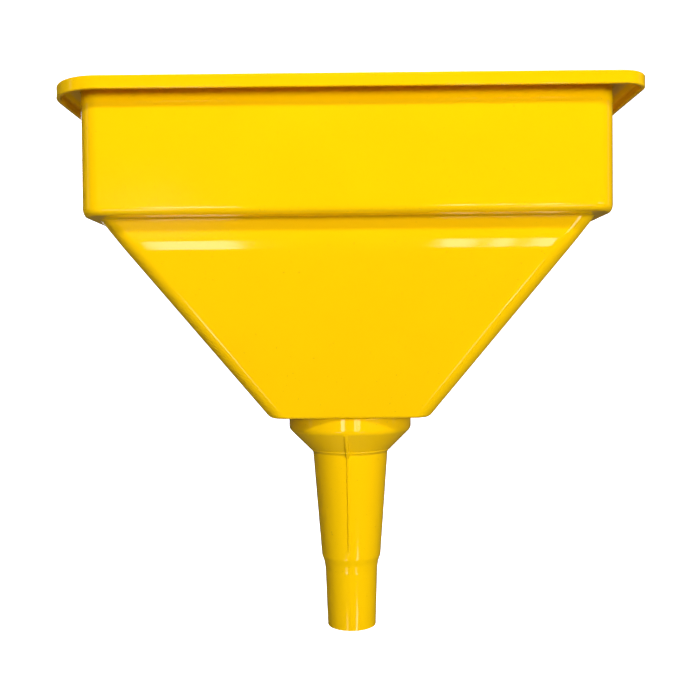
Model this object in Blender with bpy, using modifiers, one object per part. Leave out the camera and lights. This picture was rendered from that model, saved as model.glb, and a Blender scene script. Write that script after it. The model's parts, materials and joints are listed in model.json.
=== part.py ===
"""Rectangular tractor funnel: a moulded hopper with a rimmed box, a V-shaped lower part and a short neck,
a separately moulded spout that is welded over the neck, and a brass strainer that lifts out of the neck
by a folding wire loop. Metres, +Z up, origin at the middle of the spout's tip."""

import math

import bmesh
import bpy

# Rim: a flat flange round the box with a short skirt turned down at its edge
RIM_TOP = 0.2780
RIM_LENGTH = 0.275
RIM_WIDTH = 0.175
RIM_RADIUS_LEFT = 0.026
RIM_RADIUS_RIGHT = 0.013
RIM_EDGE = 0.0010
SKIRT_HEIGHT = 0.0062
SKIRT_WALL = 0.0020

# Box under the rim, and the flat ledge where it steps in to the hopper
WALL = 0.0022
OVERHANG = 0.012
BOX_RADIUS = 0.0105
BOX_BOTTOM = 0.2168
BOX_EDGE = 0.0036

# V-shaped hopper: its ends slant from the ledge, its front and rear are upright at first and then bend in
HOPPER_TOP_X = 0.1208
HOPPER_TOP_Y = 0.0610
HOPPER_TOP_RADIUS = 0.010
FLOOR_X = 0.0412
FLOOR_Y = 0.0363
FLOOR_RADIUS = 0.009
FLOOR_BOTTOM = 0.1171
FLOOR_EDGE = 0.0020
BEND_HEIGHT = 0.2045
BEND_HALF = 0.0050
WALL_ALONG_X = 0.0028
WALL_ALONG_Y = 0.00235

# Neck under the floor, and the spout's collar round it
GAP = 0.0003
NECK_INNER = 0.0284
NECK_OUTER = 0.0304
NECK_BOTTOM = 0.1108
COLLAR_OUTER = 0.0334
COLLAR_EDGE = 0.0040
SEAT_INNER = 0.0256

# Spout: a 45 degree cone, a long taper, a step and a narrower tip
CONE_BOTTOM = 0.0960
SPOUT_TOP_RADIUS = 0.0205
STEP_TOP = 0.0390
STEP_TOP_RADIUS = 0.01615
STEP_MIDDLE = 0.0355
STEP_MIDDLE_RADIUS = 0.0149
STEP_BOTTOM = 0.0315
STEP_BOTTOM_RADIUS = 0.0143
TIP_RADIUS = 0.01325
SPOUT_WALL = 0.0019

# Vent ribs, which keep an air gap between the spout and a filler neck
RIB_COUNT = 3
RIB_TURN = math.radians(4)
RIB_THICKNESS = 0.0018
RIB_TOP = 0.1083
FIN_BOTTOM = 0.0941
FIN_PROUD = 0.0016
FIN_TOP_INSET = 0.0005
RIDGE_PROUD = 0.0007
RIDGE_BOTTOM = 0.0423
RIDGE_FADE = 0.0040
RIB_ROOT = 0.0010

# Strainer: gauze in a crimped channel ring, two lugs and a wire loop
SEAT_TOP = NECK_BOTTOM - GAP
STRAINER_BOTTOM = NECK_BOTTOM
STRAINER_RADIUS = 0.0279
STRAINER_INNER = 0.0250
STRAINER_HEIGHT = 0.0026
SHEET = 0.0006
GAUZE_THICKNESS = 0.0008
LUG_X = 0.0256
LUG_SHEET = 0.0012
LUG_WIDTH = 0.0050
LUG_FOOT_LENGTH = 0.0074
LUG_FOOT_WIDTH = 0.0024
LUG_FOOT_SHEET = 0.0008
PIVOT_ABOVE_RING = 0.0026
WIRE_RADIUS = 0.0009
WIRE_HOLE = 0.0012
LOOP_LEG_X = 0.0224
LOOP_END_X = 0.0276
LOOP_REACH = 0.0264
LOOP_ELBOW = 0.0020

# Facets
CORNER_STEPS = 8
ARC_STEPS = 4
TURNED_STEPS = 48

YELLOW = (0.98, 0.70, 0.006, 1.0)
BRASS = (0.72, 0.47, 0.16, 1.0)


def clear_scene():
    for thing in list(bpy.data.objects):
        bpy.data.objects.remove(thing)


def new_collection(name):
    group = bpy.data.collections.new(name)
    bpy.context.scene.collection.children.link(group)
    return group


def material(name, colour, roughness, metallic):
    finish = bpy.data.materials.new(name)
    finish.use_nodes = True
    shader = finish.node_tree.nodes["Principled BSDF"]
    shader.inputs["Base Color"].default_value = colour
    shader.inputs["Roughness"].default_value = roughness
    shader.inputs["Metallic"].default_value = metallic
    return finish


def add_object(name, data, group, parent=None, place=(0.0, 0.0, 0.0)):
    thing = bpy.data.objects.new(name, data)
    thing.location = place
    thing.parent = parent
    group.objects.link(thing)
    return thing


def finish_mesh(bm, name):
    bmesh.ops.recalc_face_normals(bm, faces=bm.faces)
    mesh = bpy.data.meshes.new(name)
    bm.to_mesh(mesh)
    bm.free()
    mesh.shade_smooth()
    mesh.set_sharp_from_angle(angle=math.radians(30))
    return mesh


def rounded_rectangle(half_x, half_y, radius_left, radius_right, z):
    """A ring of points, CORNER_STEPS + 1 on each corner, going round from the front right corner."""
    right = ((1, -1, radius_right, -90), (1, 1, radius_right, 0))
    left = ((-1, 1, radius_left, 90), (-1, -1, radius_left, 180))
    ring = []
    for side_x, side_y, radius, start in right + left:
        for step in range(CORNER_STEPS + 1):
            angle = math.radians(start + 90 * step / CORNER_STEPS)
            x = side_x * (half_x - radius) + radius * math.cos(angle)
            y = side_y * (half_y - radius) + radius * math.sin(angle)
            ring.append((x, y, z))
    return ring


def circle(radius, z):
    """A ring with as many points as a rounded rectangle has, evenly spread and lined up with its corners."""
    count = 4 * (CORNER_STEPS + 1)
    ring = []
    for step in range(count):
        angle = math.radians(-90) + 2 * math.pi * (step + 0.5) / count
        ring.append((radius * math.cos(angle), radius * math.sin(angle), z))
    return ring


def closed_loft(name, rings):
    """A closed solid through rings that follow one another round a wall's section and back to the start."""
    bm = bmesh.new()
    loops = [[bm.verts.new(point) for point in ring] for ring in rings]
    count = len(rings[0])
    for row, loop in enumerate(loops):
        following = loops[(row + 1) % len(loops)]
        for step in range(count):
            other = (step + 1) % count
            bm.faces.new((loop[step], loop[other], following[other], following[step]))
    return finish_mesh(bm, name)


def box_ring(inset, z):
    """The box's outline, moved inwards by inset."""
    half_x = RIM_LENGTH / 2 - OVERHANG - inset
    half_y = RIM_WIDTH / 2 - OVERHANG - inset
    radius = BOX_RADIUS - inset
    return rounded_rectangle(half_x, half_y, radius, radius, z)


def rim_ring(inset, z):
    """The rim's outline, moved inwards by inset."""
    half_x = RIM_LENGTH / 2 - inset
    half_y = RIM_WIDTH / 2 - inset
    return rounded_rectangle(half_x, half_y, RIM_RADIUS_LEFT - inset, RIM_RADIUS_RIGHT - inset, z)


def hopper_half_x(z):
    return FLOOR_X + (HOPPER_TOP_X - FLOOR_X) * (z - FLOOR_BOTTOM) / (BOX_BOTTOM - FLOOR_BOTTOM)


def hopper_half_y(z):
    """Upright above the bend, slanted below it, and a parabola between the two."""
    slope = (HOPPER_TOP_Y - FLOOR_Y) / (BEND_HEIGHT - FLOOR_BOTTOM)
    if z >= BEND_HEIGHT + BEND_HALF:
        return HOPPER_TOP_Y
    if z <= BEND_HEIGHT - BEND_HALF:
        return FLOOR_Y + slope * (z - FLOOR_BOTTOM)
    return HOPPER_TOP_Y - slope * (BEND_HEIGHT + BEND_HALF - z) ** 2 / (4 * BEND_HALF)


def hopper_ring(z, inset_x=0.0, inset_y=0.0, inset_radius=0.0, at=None):
    """The hopper's outline at height z, placed at another height if at is given."""
    share = (z - FLOOR_BOTTOM) / (BOX_BOTTOM - FLOOR_BOTTOM)
    radius = FLOOR_RADIUS + (HOPPER_TOP_RADIUS - FLOOR_RADIUS) * share - inset_radius
    half_x = hopper_half_x(z) - inset_x
    half_y = hopper_half_y(z) - inset_y
    return rounded_rectangle(half_x, half_y, radius, radius, z if at is None else at)


def inner_hopper_ring(z):
    return hopper_ring(z, WALL_ALONG_X, WALL_ALONG_Y, WALL)


def bend_heights():
    top = BEND_HEIGHT + BEND_HALF
    return [top - 2 * BEND_HALF * step / ARC_STEPS for step in range(ARC_STEPS + 1)]


def box_edge_rings():
    """The rounded edge between the box's wall and the ledge."""
    rings = []
    for step in range(ARC_STEPS + 1):
        angle = math.radians(90 * step / ARC_STEPS)
        inset = BOX_EDGE * (1 - math.cos(angle))
        rings.append(box_ring(inset, BOX_BOTTOM + BOX_EDGE * (1 - math.sin(angle))))
    return rings


def floor_edge_rings():
    """The rounded edge between the slanted walls and the floor."""
    rings = []
    for step in range(ARC_STEPS + 1):
        along = step / ARC_STEPS
        z = FLOOR_BOTTOM + FLOOR_EDGE * (1 - along) ** 2
        inset = FLOOR_EDGE * along ** 2
        rings.append(hopper_ring(z, inset, inset, inset * 0.5))
    return rings


def hopper_mesh():
    ledge_top = BOX_BOTTOM + WALL
    floor_top = FLOOR_BOTTOM + WALL
    flange_bottom = RIM_TOP - WALL
    skirt_bottom = RIM_TOP - SKIRT_HEIGHT
    rings = [
        box_ring(WALL, RIM_TOP),
        rim_ring(RIM_EDGE, RIM_TOP),
        rim_ring(0.0, RIM_TOP - RIM_EDGE),
        rim_ring(0.0, skirt_bottom),
        rim_ring(SKIRT_WALL, skirt_bottom),
        rim_ring(SKIRT_WALL, flange_bottom),
        box_ring(0.0, flange_bottom),
        *box_edge_rings(),
        hopper_ring(BOX_BOTTOM),
        *[hopper_ring(z) for z in bend_heights()],
        *floor_edge_rings(),
        circle(NECK_OUTER, FLOOR_BOTTOM),
        circle(NECK_OUTER, NECK_BOTTOM),
        circle(NECK_INNER, NECK_BOTTOM),
        circle(NECK_INNER, floor_top),
        inner_hopper_ring(floor_top),
        *[inner_hopper_ring(z) for z in reversed(bend_heights())],
        inner_hopper_ring(ledge_top),
        box_ring(WALL, ledge_top),
    ]
    return closed_loft("hopper", rings)


def spout_radius(z):
    """The taper's outer radius between the cone and the step."""
    share = (z - STEP_TOP) / (CONE_BOTTOM - STEP_TOP)
    return STEP_TOP_RADIUS + (SPOUT_TOP_RADIUS - STEP_TOP_RADIUS) * share


def cone_radius(z):
    """The cone's outer radius, which grows 1 mm for each millimetre of height."""
    return SPOUT_TOP_RADIUS + z - CONE_BOTTOM


def collar_edge_points():
    """The rounded edge between the collar's wall and the 45 degree cone, as a 135 degree turn's fillet."""
    centre_r = COLLAR_OUTER - COLLAR_EDGE
    cone_at_wall = CONE_BOTTOM + COLLAR_OUTER - SPOUT_TOP_RADIUS
    centre_z = cone_at_wall + COLLAR_EDGE * math.tan(math.radians(22.5))
    points = []
    for step in range(ARC_STEPS + 1):
        angle = math.radians(45 * step / ARC_STEPS)
        points.append((centre_r + COLLAR_EDGE * math.cos(angle), centre_z - COLLAR_EDGE * math.sin(angle)))
    return points


def spout_profile():
    """Radius and height round the spout's wall, down the outside and up the inside."""
    collar_top = FLOOR_BOTTOM - GAP
    cone_wall = SPOUT_WALL * math.sqrt(2)
    inner_cone_bottom = CONE_BOTTOM + cone_wall - SPOUT_WALL
    inner_cone_top = inner_cone_bottom + SEAT_INNER - (SPOUT_TOP_RADIUS - SPOUT_WALL)
    socket_radius = NECK_OUTER + GAP
    return [
        (COLLAR_OUTER, collar_top),
        *collar_edge_points(),
        (SPOUT_TOP_RADIUS, CONE_BOTTOM),
        (STEP_TOP_RADIUS, STEP_TOP),
        (STEP_MIDDLE_RADIUS, STEP_MIDDLE),
        (STEP_BOTTOM_RADIUS, STEP_BOTTOM),
        (TIP_RADIUS, 0.0),
        (TIP_RADIUS - SPOUT_WALL, 0.0),
        (STEP_BOTTOM_RADIUS - SPOUT_WALL, STEP_BOTTOM),
        (STEP_TOP_RADIUS - SPOUT_WALL, STEP_TOP + SPOUT_WALL / 2),
        (SPOUT_TOP_RADIUS - SPOUT_WALL, inner_cone_bottom),
        (SEAT_INNER, inner_cone_top),
        (SEAT_INNER, SEAT_TOP),
        (socket_radius, SEAT_TOP),
        (socket_radius, collar_top),
    ]


def profile_mesh(name, profile):
    """A closed outline in the XZ plane at +X, to be turned by a Screw modifier."""
    bm = bmesh.new()
    corners = [bm.verts.new((radius, 0.0, z)) for radius, z in profile]
    for corner, following in zip(corners, corners[1:] + corners[:1]):
        bm.edges.new((corner, following))
    mesh = bpy.data.meshes.new(name)
    bm.to_mesh(mesh)
    bm.free()
    return mesh


def turn(thing):
    """Turns an outline about the object's own Z axis into a closed solid."""
    screw = thing.modifiers.new("turn", "SCREW")
    screw.axis = "Z"
    screw.steps = TURNED_STEPS
    screw.render_steps = TURNED_STEPS
    screw.use_merge_vertices = True
    screw.merge_threshold = 0.00001
    screw.use_smooth_shade = True


def rib_outline():
    """A vent rib's outline: a fin down the cone, then a low ridge down the taper that fades out."""
    fin_top = (COLLAR_OUTER - FIN_TOP_INSET, RIB_TOP)
    fin_middle = (cone_radius(CONE_BOTTOM) + FIN_PROUD * math.sqrt(2), CONE_BOTTOM)
    fin_foot = (spout_radius(FIN_BOTTOM) + RIDGE_PROUD, FIN_BOTTOM)
    ridge_foot = (spout_radius(RIDGE_BOTTOM), RIDGE_BOTTOM)
    ridge_root = (spout_radius(RIDGE_BOTTOM) - RIB_ROOT, RIDGE_BOTTOM)
    fin_root = (SPOUT_TOP_RADIUS - RIB_ROOT, CONE_BOTTOM)
    top_root = (cone_radius(RIB_TOP) - 2 * RIB_ROOT, RIB_TOP)
    fade_top = RIDGE_BOTTOM + RIDGE_FADE
    ridge_full = (spout_radius(fade_top) + RIDGE_PROUD, fade_top)
    return [fin_top, fin_middle, fin_foot, ridge_full, ridge_foot, ridge_root, fin_root, top_root]


def plate_mesh(name, outline, thickness):
    """A flat plate, thick along Y, from an outline of local X and Z values."""
    bm = bmesh.new()
    near = [bm.verts.new((x, -thickness / 2, z)) for x, z in outline]
    face = bm.faces.new(near)
    grown = bmesh.ops.extrude_face_region(bm, geom=[face])
    moved = [item for item in grown["geom"] if isinstance(item, bmesh.types.BMVert)]
    bmesh.ops.translate(bm, verts=moved, vec=(0.0, thickness, 0.0))
    return finish_mesh(bm, name)


def make_cutter(thing):
    thing.hide_render = True
    thing.display_type = "WIRE"
    return thing


def combine(thing, other, operation):
    boolean = thing.modifiers.new(operation.lower(), "BOOLEAN")
    boolean.operation = operation
    boolean.solver = "EXACT"
    boolean.object = other


def make_spout(group, cutters):
    spout = add_object("spout", profile_mesh("spout", spout_profile()), group)
    turn(spout)
    rib = plate_mesh("vent_rib", rib_outline(), RIB_THICKNESS)
    for count in range(RIB_COUNT):
        cutter = make_cutter(add_object(f"vent_rib_{count + 1}", rib, cutters))
        cutter.rotation_euler.z = math.radians(-90) - RIB_TURN + 2 * math.pi * count / RIB_COUNT
        combine(spout, cutter, "UNION")
    return spout


def channel_profile():
    """A C-shaped section, open towards the axis, measured up from the strainer's underside."""
    height = STRAINER_HEIGHT
    return [
        (STRAINER_INNER, height),
        (STRAINER_RADIUS, height),
        (STRAINER_RADIUS, 0.0),
        (STRAINER_INNER, 0.0),
        (STRAINER_INNER, SHEET),
        (STRAINER_RADIUS - SHEET, SHEET),
        (STRAINER_RADIUS - SHEET, height - SHEET),
        (STRAINER_INNER, height - SHEET),
    ]


def gauze_mesh():
    bm = bmesh.new()
    radius = STRAINER_RADIUS - SHEET - GAP
    bmesh.ops.create_cone(
        bm, cap_ends=True, segments=TURNED_STEPS, radius1=radius, radius2=radius, depth=GAUZE_THICKNESS
    )
    return finish_mesh(bm, "strainer_gauze")


def lug_outline():
    """An upright plate with a round top, drawn about the hinge axis, down to the top of the lug's foot."""
    half = LUG_WIDTH / 2
    foot_top = GAP + LUG_FOOT_SHEET - PIVOT_ABOVE_RING
    outline = [(-half, foot_top - LUG_FOOT_SHEET / 2), (half, foot_top - LUG_FOOT_SHEET / 2)]
    for step in range(2 * ARC_STEPS + 1):
        angle = math.pi * step / (2 * ARC_STEPS)
        outline.append((half * math.cos(angle), half * math.sin(angle)))
    return outline


def lug_mesh():
    """The upright plate, turned so that its thickness is along X."""
    mesh = plate_mesh("loop_lug", lug_outline(), LUG_SHEET)
    quarter_turn = math.radians(90)
    for vertex in mesh.vertices:
        x, y = vertex.co.x, vertex.co.y
        vertex.co.x = x * math.cos(quarter_turn) - y * math.sin(quarter_turn)
        vertex.co.y = x * math.sin(quarter_turn) + y * math.cos(quarter_turn)
    return mesh


def lug_foot_mesh():
    """The lug's flat foot, which lies on the ring."""
    bm = bmesh.new()
    bmesh.ops.create_cube(bm, size=1.0)
    bmesh.ops.scale(bm, vec=(LUG_FOOT_WIDTH, LUG_FOOT_LENGTH, LUG_FOOT_SHEET), verts=bm.verts)
    return finish_mesh(bm, "lug_foot")


def hole_mesh():
    """A drill along X for the wire's end."""
    bm = bmesh.new()
    bmesh.ops.create_cone(
        bm, cap_ends=True, segments=4 * ARC_STEPS, radius1=WIRE_HOLE, radius2=WIRE_HOLE, depth=4 * LUG_SHEET
    )
    mesh = finish_mesh(bm, "lug_hole")
    for vertex in mesh.vertices:
        vertex.co.x, vertex.co.z = vertex.co.z, -vertex.co.x
    return mesh


def make_lug(name, side, group, cutters, hinge):
    foot_height = GAP + LUG_FOOT_SHEET / 2 - PIVOT_ABOVE_RING
    lug = add_object(name, lug_mesh(), group, hinge, (side * LUG_X, 0.0, 0.0))
    foot_place = (side * LUG_X, 0.0, foot_height)
    foot = make_cutter(add_object(name + "_foot", lug_foot_mesh(), cutters, hinge, foot_place))
    hole = make_cutter(add_object(name + "_hole", hole_mesh(), cutters, hinge, (side * LUG_X, 0.0, 0.0)))
    combine(lug, foot, "UNION")
    combine(lug, hole, "DIFFERENCE")
    return lug


def elbow(centre_x, centre_y, start, end):
    points = []
    for step in range(ARC_STEPS + 1):
        angle = math.radians(start + (end - start) * step / ARC_STEPS)
        points.append((centre_x + LOOP_ELBOW * math.cos(angle), centre_y + LOOP_ELBOW * math.sin(angle)))
    return points


def loop_route():
    """The wire's middle line, from one end in its lug round the bow to the other end, seen from above."""
    right = [(LOOP_END_X, 0.0)]
    right += elbow(LOOP_LEG_X + LOOP_ELBOW, LOOP_ELBOW, -90, -180)
    bow_y = LOOP_REACH - LOOP_LEG_X
    steps = 4 * ARC_STEPS
    bow = []
    for step in range(steps + 1):
        angle = math.pi * step / steps
        bow.append((LOOP_LEG_X * math.cos(angle), bow_y + LOOP_LEG_X * math.sin(angle)))
    left = [(-x, y) for x, y in reversed(right)]
    return right + bow + left


def make_loop(group, hinge):
    """A bent wire that slopes a little from the hinge down to the ring it rests on."""
    rest_height = GAP + WIRE_RADIUS - PIVOT_ABOVE_RING
    curve = bpy.data.curves.new("strainer_loop", "CURVE")
    curve.dimensions = "3D"
    curve.bevel_depth = WIRE_RADIUS
    curve.bevel_resolution = 2
    curve.use_fill_caps = True
    route = loop_route()
    spline = curve.splines.new("POLY")
    spline.points.add(len(route) - 1)
    for point, (x, y) in zip(spline.points, route):
        point.co = (x, y, rest_height * y / LOOP_REACH, 1.0)
    return add_object("strainer_loop", curve, group, hinge)


def build():
    clear_scene()
    group = new_collection("tractor_funnel")
    cutters = new_collection("cutters")

    hopper = add_object("hopper", hopper_mesh(), group)
    spout = make_spout(group, cutters)

    lift_axis = add_object("strainer_lift_axis", None, group, None, (0.0, 0.0, STRAINER_BOTTOM))
    ring = add_object("strainer_ring", profile_mesh("strainer_ring", channel_profile()), group, lift_axis)
    turn(ring)
    gauze = add_object("strainer_gauze", gauze_mesh(), group, lift_axis, (0.0, 0.0, STRAINER_HEIGHT / 2))

    hinge_height = STRAINER_HEIGHT + PIVOT_ABOVE_RING
    hinge = add_object("loop_hinge_axis", None, group, lift_axis, (0.0, 0.0, hinge_height))
    right_lug = make_lug("loop_lug_right", 1, group, cutters, hinge)
    left_lug = make_lug("loop_lug_left", -1, group, cutters, hinge)
    loop = make_loop(group, hinge)

    finishes = (
        (hopper, "hopper_polyethylene", YELLOW, 0.25, 0.0),
        (spout, "spout_polyethylene", YELLOW, 0.28, 0.0),
        (ring, "ring_brass", BRASS, 0.30, 1.0),
        (gauze, "gauze_brass", BRASS, 0.45, 1.0),
        (right_lug, "right_lug_brass", BRASS, 0.35, 1.0),
        (left_lug, "left_lug_brass", BRASS, 0.35, 1.0),
        (loop, "loop_brass", BRASS, 0.25, 1.0),
    )
    for thing, name, colour, roughness, metallic in finishes:
        thing.data.materials.append(material(name, colour, roughness, metallic))


build()
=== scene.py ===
import json
import math

import bmesh
import bpy
import numpy as np
from mathutils import Matrix, Vector


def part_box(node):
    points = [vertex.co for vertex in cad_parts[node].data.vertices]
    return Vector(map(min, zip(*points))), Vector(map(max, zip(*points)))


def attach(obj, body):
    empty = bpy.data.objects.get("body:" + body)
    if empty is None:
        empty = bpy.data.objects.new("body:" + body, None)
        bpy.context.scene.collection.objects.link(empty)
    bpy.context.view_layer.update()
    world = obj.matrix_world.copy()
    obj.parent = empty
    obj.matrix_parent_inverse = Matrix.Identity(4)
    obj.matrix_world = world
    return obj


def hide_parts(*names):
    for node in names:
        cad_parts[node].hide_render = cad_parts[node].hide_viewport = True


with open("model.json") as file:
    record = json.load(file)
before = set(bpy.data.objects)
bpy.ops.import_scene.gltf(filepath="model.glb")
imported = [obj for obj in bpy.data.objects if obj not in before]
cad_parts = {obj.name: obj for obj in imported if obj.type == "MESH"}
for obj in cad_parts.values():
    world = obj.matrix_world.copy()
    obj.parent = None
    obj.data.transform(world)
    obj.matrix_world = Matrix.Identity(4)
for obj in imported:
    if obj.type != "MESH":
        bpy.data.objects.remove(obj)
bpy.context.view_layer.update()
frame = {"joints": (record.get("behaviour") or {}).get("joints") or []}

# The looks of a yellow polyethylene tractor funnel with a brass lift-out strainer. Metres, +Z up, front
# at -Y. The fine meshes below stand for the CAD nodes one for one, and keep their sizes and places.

# ---------------------------------------------------------------- sizes taken from the frame
HOPPER_LOW, HOPPER_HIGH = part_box("hopper")
SPOUT_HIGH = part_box("spout")[1]
RING_LOW, RING_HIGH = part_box("strainer_ring")
GAUZE_LOW, GAUZE_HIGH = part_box("strainer_gauze")
LUG_LOW, LUG_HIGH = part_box("loop_lug_right")
HINGE = Vector(next(joint["pos_m"] for joint in frame["joints"] if joint["name"] == "loop_fold"))

RIM_TOP = HOPPER_HIGH.z
RIM_HALF_X = HOPPER_HIGH.x
RIM_HALF_Y = HOPPER_HIGH.y
NECK_BOTTOM = HOPPER_LOW.z
COLLAR_TOP = SPOUT_HIGH.z
COLLAR_OUTER = SPOUT_HIGH.x

# ---------------------------------------------------------------- the hopper's own sizes
GAP = 0.0003
RIM_RADIUS_LEFT = 0.026
RIM_RADIUS_RIGHT = 0.013
RIM_EDGE = 0.0012
SKIRT_HEIGHT = 0.0062
SKIRT_WALL = 0.0020
WALL = 0.0022
OVERHANG = 0.012
BOX_RADIUS = 0.0105
BOX_BOTTOM = 0.2168
BOX_EDGE = 0.0036
HOPPER_TOP_X = 0.1208
HOPPER_TOP_Y = 0.0610
HOPPER_TOP_RADIUS = 0.010
FLOOR_X = 0.0412
FLOOR_Y = 0.0363
FLOOR_RADIUS = 0.009
FLOOR_BOTTOM = COLLAR_TOP + GAP
FLOOR_EDGE = 0.0016
BEND_HEIGHT = 0.2045
BEND_REACH = 0.0052
WALL_ALONG_X = 0.0028
WALL_ALONG_Y = 0.00235
NECK_INNER = 0.0284
NECK_OUTER = 0.0304
CREASE = 0.0008
SMALL_EDGE = 0.0006

# ---------------------------------------------------------------- the spout's own sizes
COLLAR_EDGE = 0.0017
SEAT_INNER = 0.0256
SEAT_TOP = NECK_BOTTOM - GAP
CONE_BOTTOM = 0.0960
SPOUT_TOP_RADIUS = 0.0205
STEP_TOP = 0.0390
STEP_TOP_RADIUS = 0.01615
STEP_MIDDLE = 0.0355
STEP_MIDDLE_RADIUS = 0.0149
STEP_BOTTOM = 0.0315
STEP_BOTTOM_RADIUS = 0.0143
TIP_RADIUS = 0.01325
SPOUT_WALL = 0.0019
RIB_COUNT = 3
RIB_TURN = math.radians(4)
RIB_TOP = 0.1083
FIN_BOTTOM = 0.0941
FIN_PROUD = 0.0016
FIN_TOP_INSET = 0.0003
FIN_HALF = 0.0009
FIN_CREST_HALF = 0.0003
FIN_FOOT_HALF = 0.00135
RIDGE_CREST_HALF = 0.00015
RIDGE_FOOT_HALF = 0.00075
RIDGE_PROUD = 0.0007
RIDGE_BOTTOM = 0.0423
RIDGE_FADE = 0.0040

# ---------------------------------------------------------------- the strainer's own sizes
SHEET = 0.0006
CHANNEL_INNER = 0.0250
MESH_PITCH = 0.0009
MESH_WIRE = 0.00014
LUG_SHEET = 0.0012
LUG_FOOT_WIDTH = 0.0024
LUG_FOOT_SHEET = 0.0008
WIRE_RADIUS = 0.0009
WIRE_HOLE = 0.0012
LOOP_LEG_X = 0.0224
LOOP_END_X = 0.0276
LOOP_REACH = 0.0264
LOOP_ELBOW = 0.0020

# ---------------------------------------------------------------- how fine the meshes are
CORNER_STEPS = 16
SIDE_STEPS = 16
EDGE_STEPS = 8
TURN_STEPS = 128
HOLE_STEPS = 48
ELBOW_STEPS = 8
BOW_STEPS = 64
# Each rounding has one more row on either side, this many reaches from the corner, which keeps the flat
# faces' shading flat.
SUPPORT = 1.25


# ---------------------------------------------------------------- mesh tools
def new_object(name, mesh):
    thing = bpy.data.objects.new(name, mesh)
    bpy.context.scene.collection.objects.link(thing)
    return thing


def grid_mesh(name, rows):
    """A closed skin over rows of points, where the last row meets the first and each row is a closed ring."""
    rows = np.asarray(rows, float)
    count, around = rows.shape[:2]
    index = np.arange(count * around).reshape(count, around)
    below = np.roll(index, -1, axis=0)
    faces = np.stack([index, np.roll(index, -1, axis=1), np.roll(below, -1, axis=1), below], axis=-1)
    mesh = bpy.data.meshes.new(name)
    mesh.from_pydata(rows.reshape(-1, 3).tolist(), [], faces.reshape(-1, 4).tolist())
    bm = bmesh.new()
    bm.from_mesh(mesh)
    bmesh.ops.recalc_face_normals(bm, faces=bm.faces)
    bm.to_mesh(mesh)
    bm.free()
    mesh.shade_smooth()
    return mesh


def rounded_path(knots, across, up):
    """Goes round a closed section and rounds each knot off. A knot is (values, reach), and its rounding
    starts and ends at that reach from it. across and up say which two values are the section's own."""
    path = []
    for row, (knot, reach) in enumerate(knots):
        if reach == 0:
            path.append(knot)
            continue
        before = knots[row - 1][0] - knot
        after = knots[(row + 1) % len(knots)][0] - knot
        before = before / math.hypot(before[across], before[up])
        after = after / math.hypot(after[across], after[up])
        inside = before[across] * after[across] + before[up] * after[up]
        weight = math.sin(math.acos(max(-1.0, min(1.0, inside))) / 2)
        path.append(knot + before * reach * SUPPORT)
        for step in range(EDGE_STEPS + 1):
            t = step / EDGE_STEPS
            parts = ((1 - t) ** 2, 2 * t * (1 - t) * weight, t ** 2)
            point = parts[0] * (knot + before * reach) + parts[1] * knot + parts[2] * (knot + after * reach)
            path.append(point / sum(parts))
        path.append(knot + after * reach * SUPPORT)
    return path


def side_shares():
    """Where points lie along a straight side. Two are close to its ends, so that it is shaded flat."""
    close = 0.008
    middle = np.linspace(0.0, 1.0, SIDE_STEPS - 1)[1:-1]
    return [close, *middle, 1 - close]


def outline(half_x, half_y, radius_left, radius_right, z):
    """A rounded rectangle at height z, going round from the front right corner."""
    right = ((1, -1, radius_right, -90), (1, 1, radius_right, 0))
    left = ((-1, 1, radius_left, 90), (-1, -1, radius_left, 180))
    arcs = []
    for side_x, side_y, radius, start in right + left:
        angles = np.radians(start + 90 * np.arange(CORNER_STEPS + 1) / CORNER_STEPS)
        x = side_x * (half_x - radius) + radius * np.cos(angles)
        y = side_y * (half_y - radius) + radius * np.sin(angles)
        arcs.append(np.stack([x, y, np.full_like(x, z)], axis=-1))
    ring = []
    for arc, following in zip(arcs, arcs[1:] + arcs[:1]):
        ring.extend(arc)
        ring.extend(arc[-1] + (following[0] - arc[-1]) * share for share in side_shares())
    return np.array(ring)


def round_outline(radius, z):
    """A circle with as many points as an outline, lined up with its corners."""
    count = 4 * (CORNER_STEPS + SIDE_STEPS)
    angles = math.radians(-45) + 2 * math.pi * (np.arange(count) - CORNER_STEPS / 2) / count
    return np.stack([radius * np.cos(angles), radius * np.sin(angles), np.full(count, z)], axis=-1)


# ---------------------------------------------------------------- hopper
def rim_knot(inset, z):
    radii = (RIM_RADIUS_LEFT - inset, RIM_RADIUS_RIGHT - inset)
    return np.array([RIM_HALF_X - inset, RIM_HALF_Y - inset, *radii, z])


def box_knot(inset, z):
    radius = BOX_RADIUS - inset
    return np.array([RIM_HALF_X - OVERHANG - inset, RIM_HALF_Y - OVERHANG - inset, radius, radius, z])


def hopper_knot(z, inset_x=0.0, inset_y=0.0, inset_radius=0.0):
    """The V-shaped part at height z. Its ends slant all the way, its front and rear below the bend."""
    share = (z - FLOOR_BOTTOM) / (BOX_BOTTOM - FLOOR_BOTTOM)
    below_bend = min(1.0, (z - FLOOR_BOTTOM) / (BEND_HEIGHT - FLOOR_BOTTOM))
    half_x = FLOOR_X + (HOPPER_TOP_X - FLOOR_X) * share - inset_x
    half_y = FLOOR_Y + (HOPPER_TOP_Y - FLOOR_Y) * below_bend - inset_y
    radius = FLOOR_RADIUS + (HOPPER_TOP_RADIUS - FLOOR_RADIUS) * share - inset_radius
    return np.array([half_x, half_y, radius, radius, z])


def inner_hopper_knot(z):
    return hopper_knot(z, WALL_ALONG_X, WALL_ALONG_Y, WALL)


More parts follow.
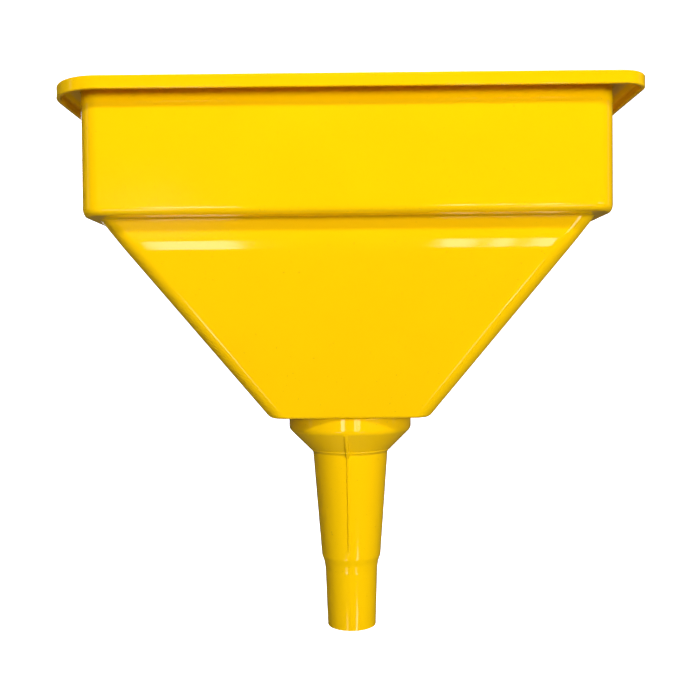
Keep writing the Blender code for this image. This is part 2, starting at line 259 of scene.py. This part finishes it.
def hopper_rows():
    flange_bottom = RIM_TOP - WALL
    skirt_bottom = RIM_TOP - SKIRT_HEIGHT
    ledge_top = BOX_BOTTOM + WALL
    floor_top = FLOOR_BOTTOM + WALL
    flat_end = FLOOR_EDGE * 1.4
    section = [
        (inner_hopper_knot(floor_top + FLOOR_EDGE), 0.0),
        (inner_hopper_knot(BEND_HEIGHT), BEND_REACH),
        (inner_hopper_knot(ledge_top), 0.0014),
        (box_knot(WALL, ledge_top), 0.0014),
        (box_knot(WALL, RIM_TOP), 0.0012),
        (rim_knot(0.0, RIM_TOP), RIM_EDGE),
        (rim_knot(0.0, skirt_bottom), SMALL_EDGE),
        (rim_knot(SKIRT_WALL, skirt_bottom), SMALL_EDGE),
        (rim_knot(SKIRT_WALL, flange_bottom), 0.0010),
        (box_knot(0.0, flange_bottom), 0.0010),
        (box_knot(0.0, BOX_BOTTOM), BOX_EDGE),
        (hopper_knot(BOX_BOTTOM), CREASE),
        (hopper_knot(BEND_HEIGHT), BEND_REACH),
        (hopper_knot(FLOOR_BOTTOM), FLOOR_EDGE),
        (hopper_knot(FLOOR_BOTTOM, flat_end, flat_end, flat_end * 0.5), 0.0),
    ]
    rows = [outline(*station) for station in rounded_path(section, 1, 4)]
    neck = [
        (np.array([NECK_OUTER, FLOOR_BOTTOM]), 0.0),
        (np.array([NECK_OUTER, NECK_BOTTOM]), SMALL_EDGE),
        (np.array([NECK_INNER, NECK_BOTTOM]), SMALL_EDGE),
        (np.array([NECK_INNER, floor_top]), 0.0010),
        (np.array([NECK_INNER + 2 * WALL, floor_top]), 0.0),
    ]
    rows += [round_outline(*point) for point in rounded_path(neck, 0, 1)]
    for step in range(EDGE_STEPS + 1):
        along = 1 - step / EDGE_STEPS
        inset = FLOOR_EDGE * 0.6 * along ** 2
        z = floor_top + FLOOR_EDGE * 0.6 * (1 - along) ** 2
        knot = hopper_knot(z, WALL_ALONG_X + inset, WALL_ALONG_Y + inset, WALL + inset * 0.5)
        rows.append(outline(*knot))
    return rows


def make_hopper():
    hopper = new_object("funnel_hopper", grid_mesh("funnel_hopper", hopper_rows()))
    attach(hopper, "funnel")
    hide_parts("hopper")
    return hopper


# ---------------------------------------------------------------- spout
def spout_radius(z):
    return STEP_TOP_RADIUS + (SPOUT_TOP_RADIUS - STEP_TOP_RADIUS) * (z - STEP_TOP) / (CONE_BOTTOM - STEP_TOP)


def spout_path():
    """Radius and height, down the outside and up the inside."""
    cone_top = CONE_BOTTOM + COLLAR_OUTER - SPOUT_TOP_RADIUS
    inner_cone_bottom = CONE_BOTTOM + SPOUT_WALL * (math.sqrt(2) - 1)
    inner_cone_top = inner_cone_bottom + SEAT_INNER - (SPOUT_TOP_RADIUS - SPOUT_WALL)
    socket = NECK_OUTER + GAP
    corners = [
        (COLLAR_OUTER, COLLAR_TOP, 0.0004),
        (COLLAR_OUTER, cone_top, COLLAR_EDGE),
        (SPOUT_TOP_RADIUS, CONE_BOTTOM, 0.0003),
        (STEP_TOP_RADIUS, STEP_TOP, 0.0007),
        (STEP_MIDDLE_RADIUS, STEP_MIDDLE, 0.0009),
        (STEP_BOTTOM_RADIUS, STEP_BOTTOM, 0.0009),
        (TIP_RADIUS, 0.0, 0.0005),
        (TIP_RADIUS - SPOUT_WALL, 0.0, 0.0005),
        (STEP_BOTTOM_RADIUS - SPOUT_WALL, STEP_BOTTOM, 0.0010),
        (STEP_TOP_RADIUS - SPOUT_WALL, STEP_TOP + SPOUT_WALL / 2, 0.0010),
        (SPOUT_TOP_RADIUS - SPOUT_WALL, inner_cone_bottom, 0.0012),
        (SEAT_INNER, inner_cone_top, 0.0012),
        (SEAT_INNER, SEAT_TOP, 0.0004),
        (socket, SEAT_TOP, 0.0),
        (socket, COLLAR_TOP, 0.0004),
    ]
    return np.array(rounded_path([(np.array(corner[:2]), corner[2]) for corner in corners], 0, 1))


def with_rib_rows(path):
    """Adds rows along the outside wherever the ribs need them."""
    tip = int(np.argmin(path[:, 1]))
    outside = path[:tip]
    wanted = np.concatenate([
        np.arange(RIDGE_BOTTOM - 0.001, FIN_BOTTOM - 0.0006, 0.0012),
        np.arange(FIN_BOTTOM - 0.0006, CONE_BOTTOM + 0.0015, 0.0002),
        np.arange(CONE_BOTTOM + 0.0015, RIB_TOP + 0.0004, 0.0006),
    ])
    heights = np.unique(np.concatenate([outside[:, 1], wanted]))[::-1]
    radii = np.interp(-heights, -outside[:, 1], outside[:, 0])
    return np.concatenate([np.stack([radii, heights], axis=-1), path[tip:]]), len(heights)


def rib_crest(z):
    """How far from the axis a rib's crest lies at height z: a fin down the cone, then a low ridge."""
    corners = [
        (COLLAR_OUTER - FIN_TOP_INSET, RIB_TOP, 0.0),
        (SPOUT_TOP_RADIUS + FIN_PROUD * math.sqrt(2), CONE_BOTTOM, 0.0010),
        (spout_radius(FIN_BOTTOM) + RIDGE_PROUD, FIN_BOTTOM, 0.0006),
        (spout_radius(RIDGE_BOTTOM + RIDGE_FADE) + RIDGE_PROUD, RIDGE_BOTTOM + RIDGE_FADE, 0.0015),
        (spout_radius(RIDGE_BOTTOM), RIDGE_BOTTOM, 0.0),
    ]
    line = np.array(rounded_path([(np.array(corner[:2]), corner[2]) for corner in corners], 0, 1))
    return np.interp(-z, -line[:, 1], line[:, 0], left=0.0, right=0.0)


def smooth_fall(distance, full, none):
    """1 up to full, 0 from none on, and a smooth fall between the two."""
    share = np.clip((none - distance) / (none - full), 0.0, 1.0)
    return share * share * (3 - 2 * share)


def spout_angles():
    """Angles round the spout, closer together across each rib."""
    window = 1.5 * FIN_HALF / SPOUT_TOP_RADIUS
    ribs = [math.radians(-90) - RIB_TURN + 2 * math.pi * count / RIB_COUNT for count in range(RIB_COUNT)]
    spread = 2 * math.pi * np.arange(TURN_STEPS) / TURN_STEPS
    angles = []
    for angle in spread:
        nearest = min(abs(math.remainder(angle - rib, 2 * math.pi)) for rib in ribs)
        if nearest > window * 1.2:
            angles.append(angle)
    for rib in ribs:
        angles.extend((rib + offset) % (2 * math.pi) for offset in np.linspace(-window, window, 31))
    return np.array(sorted(angles)), ribs


def spout_rows():
    path, outer_count = with_rib_rows(spout_path())
    angles, ribs = spout_angles()
    radius = np.repeat(path[:, :1], len(angles), axis=1)
    outer = path[:outer_count]
    proud = np.maximum(rib_crest(outer[:, 1]) - outer[:, 0], 0.0)
    on_fin = smooth_fall(-outer[:, 1], -CONE_BOTTOM, -FIN_BOTTOM)
    full = RIDGE_CREST_HALF + (FIN_CREST_HALF - RIDGE_CREST_HALF) * on_fin
    none = RIDGE_FOOT_HALF + (FIN_FOOT_HALF - RIDGE_FOOT_HALF) * on_fin
    for rib in ribs:
        turn = np.arctan2(np.sin(angles - rib), np.cos(angles - rib))
        across = np.abs(outer[:, :1] * np.sin(turn)) + 10.0 * (np.cos(turn) < 0)
        radius[:outer_count] += proud[:, None] * smooth_fall(across, full[:, None], none[:, None])
    x = radius * np.cos(angles)
    y = radius * np.sin(angles)
    z = np.repeat(path[:, 1:], len(angles), axis=1)
    return np.stack([x, y, z], axis=-1)


def make_spout():
    spout = new_object("funnel_spout", grid_mesh("funnel_spout", spout_rows()))
    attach(spout, "funnel")
    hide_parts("spout")
    return spout


# ---------------------------------------------------------------- strainer
def turned_rows(corners, steps):
    path = np.array(rounded_path([(np.array(corner[:2]), corner[2]) for corner in corners], 0, 1))
    angles = 2 * math.pi * np.arange(steps) / steps
    x = path[:, :1] * np.cos(angles)
    y = path[:, :1] * np.sin(angles)
    return np.stack([x, y, np.repeat(path[:, 1:], steps, axis=1)], axis=-1)


def make_ring():
    """A strip of brass pressed into a channel that is open towards the gauze, with turned-in lips."""
    low, high, outer = RING_LOW.z, RING_HIGH.z, RING_HIGH.x
    corners = [
        (CHANNEL_INNER, high, 0.00028),
        (outer, high, 0.00055),
        (outer, low, 0.00055),
        (CHANNEL_INNER, low, 0.00028),
        (CHANNEL_INNER, low + SHEET, 0.00028),
        (outer - SHEET, low + SHEET, 0.0002),
        (outer - SHEET, high - SHEET, 0.0002),
        (CHANNEL_INNER, high - SHEET, 0.00028),
    ]
    mesh = grid_mesh("strainer_channel_ring", turned_rows(corners, TURN_STEPS))
    ring = new_object("strainer_channel_ring", mesh)
    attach(ring, "strainer")
    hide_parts("strainer_ring")
    return ring


def sweep(bm, line, radius, sides, side_hint):
    """A tube along a line of points, with flat ends, whose section starts towards side_hint."""
    rings = []
    for row, point in enumerate(line):
        ahead = line[min(row + 1, len(line) - 1)]
        behind = line[max(row - 1, 0)]
        along = (ahead - behind).normalized()
        side = (side_hint - side_hint.dot(along) * along).normalized()
        other = along.cross(side)
        ring = []
        for step in range(sides):
            angle = 2 * math.pi * step / sides
            ring.append(bm.verts.new(point + radius * (math.cos(angle) * side + math.sin(angle) * other)))
        rings.append(ring)
    for ring, following in zip(rings, rings[1:]):
        for step in range(sides):
            after = (step + 1) % sides
            bm.faces.new((ring[step], ring[after], following[after], following[step]))
    bm.faces.new(list(reversed(rings[0])))
    bm.faces.new(rings[-1])


def weave_line(offset, half_length, phase, turned):
    """One wire of the gauze, which goes over and under those that cross it."""
    quarter = MESH_PITCH / 2
    count = int(half_length / quarter)
    height = (GAUZE_LOW.z + GAUZE_HIGH.z) / 2
    line = []
    for step in range(-count, count + 1):
        along = step * quarter
        lift = MESH_WIRE * math.cos(math.pi * along / MESH_PITCH + phase)
        place = (offset, along) if turned else (along, offset)
        line.append(Vector((*place, height + lift)))
    return line


def make_gauze():
    bm = bmesh.new()
    radius = GAUZE_HIGH.x - MESH_WIRE
    count = int(radius / MESH_PITCH)
    for number in range(-count, count + 1):
        offset = number * MESH_PITCH
        half_length = math.sqrt(radius ** 2 - offset ** 2)
        for turned in (False, True):
            phase = math.pi * ((number + turned) % 2)
            line = weave_line(offset, half_length, phase, turned)
            if len(line) > 2:
                sweep(bm, line, MESH_WIRE, 6, Vector((0.0, 0.0, 1.0)))
    mesh = bpy.data.meshes.new("strainer_woven_gauze")
    bm.to_mesh(mesh)
    bm.free()
    mesh.shade_smooth()
    gauze = new_object("strainer_woven_gauze", mesh)
    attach(gauze, "strainer")
    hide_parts("strainer_gauze")
    return gauze


def lug_plate():
    """An upright plate with a round top and a drilled hole: a ring of faces from its edge to the hole."""
    half = LUG_HIGH.z - HINGE.z
    foot = LUG_LOW.z + LUG_FOOT_SHEET / 2 - HINGE.z
    spokes = []
    for step in range(HOLE_STEPS):
        angle = 2 * math.pi * step / HOLE_STEPS + math.pi / HOLE_STEPS
        y, z = math.cos(angle), math.sin(angle)
        if z < 0:
            reach = min(half / max(abs(y), 1e-9), -foot / abs(z))
            edge = (reach * y, reach * z)
        else:
            edge = (half * y, half * z)
        spokes.append((edge, (WIRE_HOLE * y, WIRE_HOLE * z)))
    bm = bmesh.new()
    layers = []
    for x in (-LUG_SHEET / 2, LUG_SHEET / 2):
        outer = [bm.verts.new((x, *edge)) for edge, hole in spokes]
        inner = [bm.verts.new((x, *hole)) for edge, hole in spokes]
        layers.append((outer, inner))
    (outer_a, inner_a), (outer_b, inner_b) = layers
    for step in range(HOLE_STEPS):
        after = (step + 1) % HOLE_STEPS
        bm.faces.new((outer_a[step], outer_a[after], inner_a[after], inner_a[step]))
        bm.faces.new((outer_b[after], outer_b[step], inner_b[step], inner_b[after]))
        bm.faces.new((outer_a[after], outer_a[step], outer_b[step], outer_b[after]))
        bm.faces.new((inner_a[step], inner_a[after], inner_b[after], inner_b[step]))
    bmesh.ops.recalc_face_normals(bm, faces=bm.faces)
    mesh = bpy.data.meshes.new("lug_plate")
    bm.to_mesh(mesh)
    bm.free()
    return mesh


def lug_foot():
    """The turned-out foot, with its upright edges rounded."""
    bm = bmesh.new()
    bmesh.ops.create_cube(bm, size=1.0)
    length = LUG_HIGH.y - LUG_LOW.y
    bmesh.ops.scale(bm, vec=(LUG_FOOT_WIDTH, length, LUG_FOOT_SHEET), verts=bm.verts)
    place = Vector((0.0, 0.0, LUG_LOW.z + LUG_FOOT_SHEET / 2 - HINGE.z))
    bmesh.ops.translate(bm, vec=place, verts=bm.verts)
    upright = [edge for edge in bm.edges if abs(edge.verts[0].co.z - edge.verts[1].co.z) > LUG_FOOT_SHEET / 2]
    bmesh.ops.bevel(bm, geom=upright, offset=0.0007, segments=4, profile=0.5, affect="EDGES")
    mesh = bpy.data.meshes.new("lug_foot")
    bm.to_mesh(mesh)
    bm.free()
    return mesh


def make_lug(name, node, side):
    """Plate and foot joined into one body, with every sharp edge broken."""
    lug = new_object(name, lug_plate())
    foot = new_object(name + "_foot", lug_foot())
    union = lug.modifiers.new("union", "BOOLEAN")
    union.operation = "UNION"
    union.solver = "EXACT"
    union.object = foot
    bevel = lug.modifiers.new("bevel", "BEVEL")
    bevel.width = 0.00016
    bevel.segments = 3
    bevel.limit_method = "ANGLE"
    bevel.angle_limit = math.radians(40)
    bpy.context.view_layer.update()
    evaluated = lug.evaluated_get(bpy.context.evaluated_depsgraph_get())
    mesh = bpy.data.meshes.new_from_object(evaluated)
    mesh.name = name
    bpy.data.objects.remove(foot)
    bpy.data.objects.remove(lug)
    lug_x = (LUG_LOW.x + LUG_HIGH.x) / 2
    mesh.transform(Matrix.Translation((side * lug_x, HINGE.y, HINGE.z)))
    mesh.shade_smooth()
    mesh.set_sharp_from_angle(angle=math.radians(50))
    lug = new_object(name, mesh)
    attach(lug, "strainer")
    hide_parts(node)
    return lug


def loop_route():
    """The wire's middle line from its right end round the bow to its left end, measured from the hinge."""
    right = [(LOOP_END_X - 0.0008 * step, 0.0) for step in range(4)]
    for step in range(ELBOW_STEPS + 1):
        angle = math.radians(-90 - 90 * step / ELBOW_STEPS)
        centre_x = LOOP_LEG_X + LOOP_ELBOW
        right.append((centre_x + LOOP_ELBOW * math.cos(angle), LOOP_ELBOW + LOOP_ELBOW * math.sin(angle)))
    bow_y = LOOP_REACH - LOOP_LEG_X
    bow = []
    for step in range(BOW_STEPS + 1):
        angle = math.pi * step / BOW_STEPS
        bow.append((LOOP_LEG_X * math.cos(angle), bow_y + LOOP_LEG_X * math.sin(angle)))
    left = [(-x, y) for x, y in reversed(right)]
    return right + bow + left


def make_loop():
    rest_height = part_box("strainer_loop")[0].z + WIRE_RADIUS - HINGE.z
    line = []
    for x, y in loop_route():
        point = Vector((x, y, rest_height * y / LOOP_REACH)) + HINGE
        if not line or (point - line[-1]).length > 0.0001:
            line.append(point)
    bm = bmesh.new()
    sweep(bm, line, WIRE_RADIUS, 16, Vector((0.0, 0.0, 1.0)))
    ends = [face for face in bm.faces if len(face.verts) > 4]
    rims = [edge for face in ends for edge in face.edges]
    bmesh.ops.bevel(bm, geom=rims, offset=0.0003, segments=3, profile=0.5, affect="EDGES")
    mesh = bpy.data.meshes.new("strainer_lifting_loop")
    bm.to_mesh(mesh)
    bm.free()
    mesh.shade_smooth()
    loop = new_object("strainer_lifting_loop", mesh)
    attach(loop, "loop")
    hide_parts("strainer_loop")
    return loop


# ---------------------------------------------------------------- materials
class Nodes:
    """Short names for the node kinds that the materials share."""

    def __init__(self, name):
        self.material = bpy.data.materials.new(name)
        self.material.use_nodes = True
        self.tree = self.material.node_tree
        self.shader = self.tree.nodes["Principled BSDF"]
        self.place = self.tree.nodes.new("ShaderNodeTexCoord").outputs["Object"]

    def link(self, source, target):
        self.tree.links.new(source, target)

    def noise(self, scale, detail=2.0, roughness=0.5, place=None, distortion=0.0):
        node = self.tree.nodes.new("ShaderNodeTexNoise")
        node.inputs["Scale"].default_value = scale
        node.inputs["Detail"].default_value = detail
        node.inputs["Roughness"].default_value = roughness
        node.inputs["Distortion"].default_value = distortion
        self.link(place or self.place, node.inputs["Vector"])
        return node.outputs["Fac"]

    def stretch(self, scale):
        """The object's own coordinates, scaled differently along each axis."""
        node = self.tree.nodes.new("ShaderNodeMapping")
        node.inputs["Scale"].default_value = scale
        self.link(self.place, node.inputs["Vector"])
        return node.outputs["Vector"]

    def span(self, value, low, high, to_low, to_high):
        node = self.tree.nodes.new("ShaderNodeMapRange")
        node.inputs["From Min"].default_value = low
        node.inputs["From Max"].default_value = high
        node.inputs["To Min"].default_value = to_low
        node.inputs["To Max"].default_value = to_high
        self.link(value, node.inputs["Value"])
        return node.outputs["Result"]

    def mix(self, share, first, second):
        node = self.tree.nodes.new("ShaderNodeMix")
        node.data_type = "RGBA"
        for socket, value in ((node.inputs[6], first), (node.inputs[7], second)):
            if isinstance(value, tuple):
                socket.default_value = value
            else:
                self.link(value, socket)
        self.link(share, node.inputs[0])
        return node.outputs[2]

    def math(self, operation, first, second):
        node = self.tree.nodes.new("ShaderNodeMath")
        node.operation = operation
        for socket, value in ((node.inputs[0], first), (node.inputs[1], second)):
            if isinstance(value, float):
                socket.default_value = value
            else:
                self.link(value, socket)
        return node.outputs[0]

    def bump(self, height, distance, strength=1.0, normal=None):
        node = self.tree.nodes.new("ShaderNodeBump")
        node.inputs["Distance"].default_value = distance
        node.inputs["Strength"].default_value = strength
        self.link(height, node.inputs["Height"])
        if normal:
            self.link(normal, node.inputs["Normal"])
        return node.outputs["Normal"]


def polyethylene(name, colour, deep_colour):
    """Glossy moulded polyethylene: faint colour clouds, dust specks, handling marks and a moulded ripple."""
    nodes = Nodes(name)
    shader = nodes.shader
    clouds = nodes.span(nodes.noise(26.0, 3.0), 0.35, 0.65, 0.0, 1.0)
    tone = nodes.mix(clouds, colour, deep_colour)
    specks = nodes.span(nodes.noise(900.0, 1.0), 0.73, 0.77, 0.0, 0.35)
    tone = nodes.mix(specks, tone, (0.45, 0.24, 0.01, 1.0))
    nodes.link(tone, shader.inputs["Base Color"])
    smears = nodes.span(nodes.noise(34.0, 5.0, 0.62, distortion=0.8), 0.35, 0.75, 0.050, 0.100)
    scratches = nodes.noise(420.0, 2.0, 0.5, nodes.stretch((1.0, 1.0, 0.06)))
    scratches = nodes.span(scratches, 0.68, 0.76, 0.0, 0.05)
    nodes.link(nodes.math("ADD", smears, scratches), shader.inputs["Roughness"])
    ripple = nodes.bump(nodes.noise(45.0, 1.0), 0.00006)
    grain = nodes.bump(nodes.noise(1500.0, 2.0), 0.000004, 1.0, ripple)
    nodes.link(grain, shader.inputs["Normal"])
    shader.inputs["IOR"].default_value = 1.51
    return nodes.material


def brass(name, roughness, streak_scale):
    """Bare brass with a thin tarnish in clouds, tiny dark pits and the fine streaks of its making."""
    nodes = Nodes(name)
    shader = nodes.shader
    clean = (0.78, 0.53, 0.20, 1.0)
    tarnish = (0.44, 0.27, 0.09, 1.0)
    clouds = nodes.span(nodes.noise(180.0, 4.0, 0.6), 0.40, 0.72, 0.0, 0.75)
    tone = nodes.mix(clouds, clean, tarnish)
    pits = nodes.span(nodes.noise(3200.0, 1.0), 0.68, 0.74, 0.0, 0.8)
    tone = nodes.mix(pits, tone, (0.12, 0.07, 0.03, 1.0))
    nodes.link(tone, shader.inputs["Base Color"])
    shader.inputs["Metallic"].default_value = 1.0
    streaks = nodes.noise(900.0, 3.0, 0.6, nodes.stretch(streak_scale))
    nodes.link(nodes.span(streaks, 0.3, 0.7, roughness - 0.08, roughness + 0.12), shader.inputs["Roughness"])
    nodes.link(nodes.bump(streaks, 0.000012), shader.inputs["Normal"])
    return nodes.material


def finish_with(thing, material):
    thing.data.materials.clear()
    thing.data.materials.append(material)


# ---------------------------------------------------------------- stage, lights and camera
def stage_sheet(name, profile, half_width, material):
    """A plain sheet whose side view is the profile of (y, z) points."""
    bm = bmesh.new()
    left, right = [[bm.verts.new((x, y, z)) for y, z in profile] for x in (-half_width, half_width)]
    for step in range(len(profile) - 1):
        bm.faces.new((left[step], right[step], right[step + 1], left[step + 1]))
    mesh = bpy.data.meshes.new(name)
    bm.to_mesh(mesh)
    bm.free()
    mesh.shade_smooth()
    mesh.materials.append(material)
    sheet = new_object(name, mesh)
    sheet.visible_shadow = False
    return sheet


def make_stage():
    """A pale floor well below the tip, and a pale backdrop that sweeps up from it behind the funnel."""
    depth, near, back, bend, height = -0.45, -3.0, 1.2, 0.6, 2.2
    pale = bpy.data.materials.new("pale_paper")
    pale.use_nodes = True
    shader = pale.node_tree.nodes["Principled BSDF"]
    shader.inputs["Base Color"].default_value = (0.85, 0.85, 0.85, 1.0)
    shader.inputs["Roughness"].default_value = 0.9
    shader.inputs["Emission Color"].default_value = (1.0, 1.0, 1.0, 1.0)
    shader.inputs["Emission Strength"].default_value = 0.95
    floor = stage_sheet("floor", [(near, depth), (back - bend, depth)], 4.0, pale)
    floor.visible_diffuse = False
    floor.visible_glossy = False
    sweep_up = [(back - bend, depth)]
    for step in range(1, 17):
        angle = math.radians(90 * step / 16)
        sweep_up.append((back - bend * (1 - math.sin(angle)), depth + bend * (1 - math.cos(angle))))
    sweep_up.append((back, height))
    backdrop = stage_sheet("backdrop", sweep_up, 4.0, pale)
    backdrop.visible_diffuse = False
    backdrop.visible_glossy = False


def area_light(name, place, target, size_x, size_y, radiance, diffuse=True, glossy=True):
    """A soft box at place that faces target. radiance is how bright its face is. Without diffuse it shows
    only in the gloss, and without glossy it doesn't show there."""
    data = bpy.data.lights.new(name, "AREA")
    data.shape = "RECTANGLE"
    data.size = size_x
    data.size_y = size_y
    data.energy = radiance * math.pi * size_x * size_y
    light = bpy.data.objects.new(name, data)
    bpy.context.scene.collection.objects.link(light)
    light.location = place
    light.rotation_euler = (Vector(target) - Vector(place)).to_track_quat("-Z", "Y").to_euler()
    light.visible_camera = False
    light.visible_diffuse = diffuse
    light.visible_glossy = glossy


def around(azimuth, elevation, distance, height=0.2):
    """A place at that azimuth (0 in front, 90 to the right) and elevation from the funnel's front."""
    turn, rise = math.radians(azimuth), math.radians(elevation)
    level = distance * math.cos(rise)
    return (level * math.sin(turn), -level * math.cos(turn), height + distance * math.sin(rise))


def make_lights():
    """A small key above the lens and matt fills, which only shade, and panels that show only in the gloss."""
    middle = (0.0, 0.0, 0.2)
    key_place = around(0, 27, 1.05)
    top_place = (0.1, 0.35, 1.6)
    matt = (
        ("key", key_place, 0.26, 0.105, 61.0),
        ("left_fill", around(-20, 3, 1.2), 0.35, 0.25, 14.0),
        ("right_fill", around(36, 3, 2.0), 0.60, 0.40, 33.0),
        ("left_bounce", around(-100, -80, 1.3), 0.5, 0.5, 3.8),
        ("right_bounce", around(100, -80, 1.3), 0.5, 0.5, 2.6),
        ("rear_fill", around(180, 35, 1.8), 1.6, 1.2, 8.0),
        ("top_fill", top_place, 0.9, 0.7, 6.0),
    )
    gloss = (
        ("key_gloss", key_place, 0.26, 0.105, 15.0),
        ("rear_gloss", around(212, 12, 1.8), 0.3, 0.9, 4.0),
        ("top_gloss", top_place, 1.6, 1.4, 2.4),
        ("left_strip", around(-78, 6, 1.5), 0.16, 0.8, 0.6),
        ("right_strip", around(88, 6, 1.5), 0.16, 0.8, 0.6),
        ("right_panel", around(43, -4, 1.1), 0.55, 0.18, 5.0),
        ("right_low", around(21.5, -37, 1.1), 0.11, 0.24, 2.0),
        ("right_low_top", around(25, -31.5, 1.1), 0.13, 0.07, 3.5),
        ("left_low", around(-21.5, -37, 1.1), 0.11, 0.24, 2.0),
        ("left_low_middle", around(-24, -36, 1.1), 0.17, 0.07, 3.5),
    )
    for name, place, size_x, size_y, radiance in matt:
        area_light(name, place, middle, size_x, size_y, radiance, glossy=False)
    for name, place, size_x, size_y, radiance in gloss:
        area_light(name, place, middle, size_x, size_y, radiance, diffuse=False)
    windows = ((-0.262, 0.152), (0.178, 0.057), (0.251, 0.033), (0.324, 0.046))
    for number, (x, width) in enumerate(windows):
        place, straight_back = (x, -1.0755, -0.03), (x, 0.0, -0.03)
        area_light(f"window_{number + 1}", place, straight_back, width, 0.24, 5.5, diffuse=False)


def make_world():
    """White behind the funnel, and a dim surround for its shading and its reflections."""
    world = bpy.data.worlds.new("surround")
    bpy.context.scene.world = world
    world.use_nodes = True
    tree = world.node_tree
    background = tree.nodes["Background"]
    path = tree.nodes.new("ShaderNodeLightPath")
    surround = tree.nodes.new("ShaderNodeMix")
    surround.inputs[2].default_value = 0.06
    surround.inputs[3].default_value = 0.04
    behind = tree.nodes.new("ShaderNodeMix")
    behind.inputs[3].default_value = 1.0
    tree.links.new(path.outputs["Is Glossy Ray"], surround.inputs[0])
    tree.links.new(surround.outputs[0], behind.inputs[2])
    tree.links.new(path.outputs["Is Camera Ray"], behind.inputs[0])
    tree.links.new(behind.outputs[0], background.inputs["Strength"])
    background.inputs["Color"].default_value = (1.0, 1.0, 1.0, 1.0)


def make_camera():
    """In front of the funnel and below its ledge, with a slight tilt and roll."""
    data = bpy.data.cameras.new("camera")
    data.sensor_width = 36.0
    data.lens = 45.03
    camera = bpy.data.objects.new("camera", data)
    bpy.context.scene.collection.objects.link(camera)
    camera.location = (0.0020, -0.4821, 0.1611)
    heading = Matrix.Rotation(math.radians(0.20), 3, "Z")
    tilt = Matrix.Rotation(math.radians(90 - 1.14), 3, "X")
    roll = Matrix.Rotation(math.radians(-0.53), 3, "Z")
    camera.rotation_euler = (heading @ tilt @ roll).to_euler()
    bpy.context.scene.camera = camera


# ---------------------------------------------------------------- the funnel
make_camera()
make_world()
make_lights()
make_stage()

YELLOW = (0.93, 0.550, 0.0, 1.0)
DEEP_YELLOW = (0.92, 0.535, 0.0, 1.0)
finish_with(make_hopper(), polyethylene("hopper_polyethylene", YELLOW, DEEP_YELLOW))
finish_with(make_spout(), polyethylene("spout_polyethylene", YELLOW, DEEP_YELLOW))
finish_with(make_ring(), brass("ring_brass", 0.30, (1.0, 1.0, 0.1)))
finish_with(make_gauze(), brass("gauze_brass", 0.34, (1.0, 1.0, 1.0)))
LUG_BRASS = brass("lug_brass", 0.32, (0.2, 1.0, 1.0))
finish_with(make_lug("loop_lug_right_plate", "loop_lug_right", 1), LUG_BRASS)
finish_with(make_lug("loop_lug_left_plate", "loop_lug_left", -1), LUG_BRASS)
finish_with(make_loop(), brass("loop_brass", 0.24, (1.0, 1.0, 1.0)))

bpy.context.scene.view_settings.view_transform = "Standard"
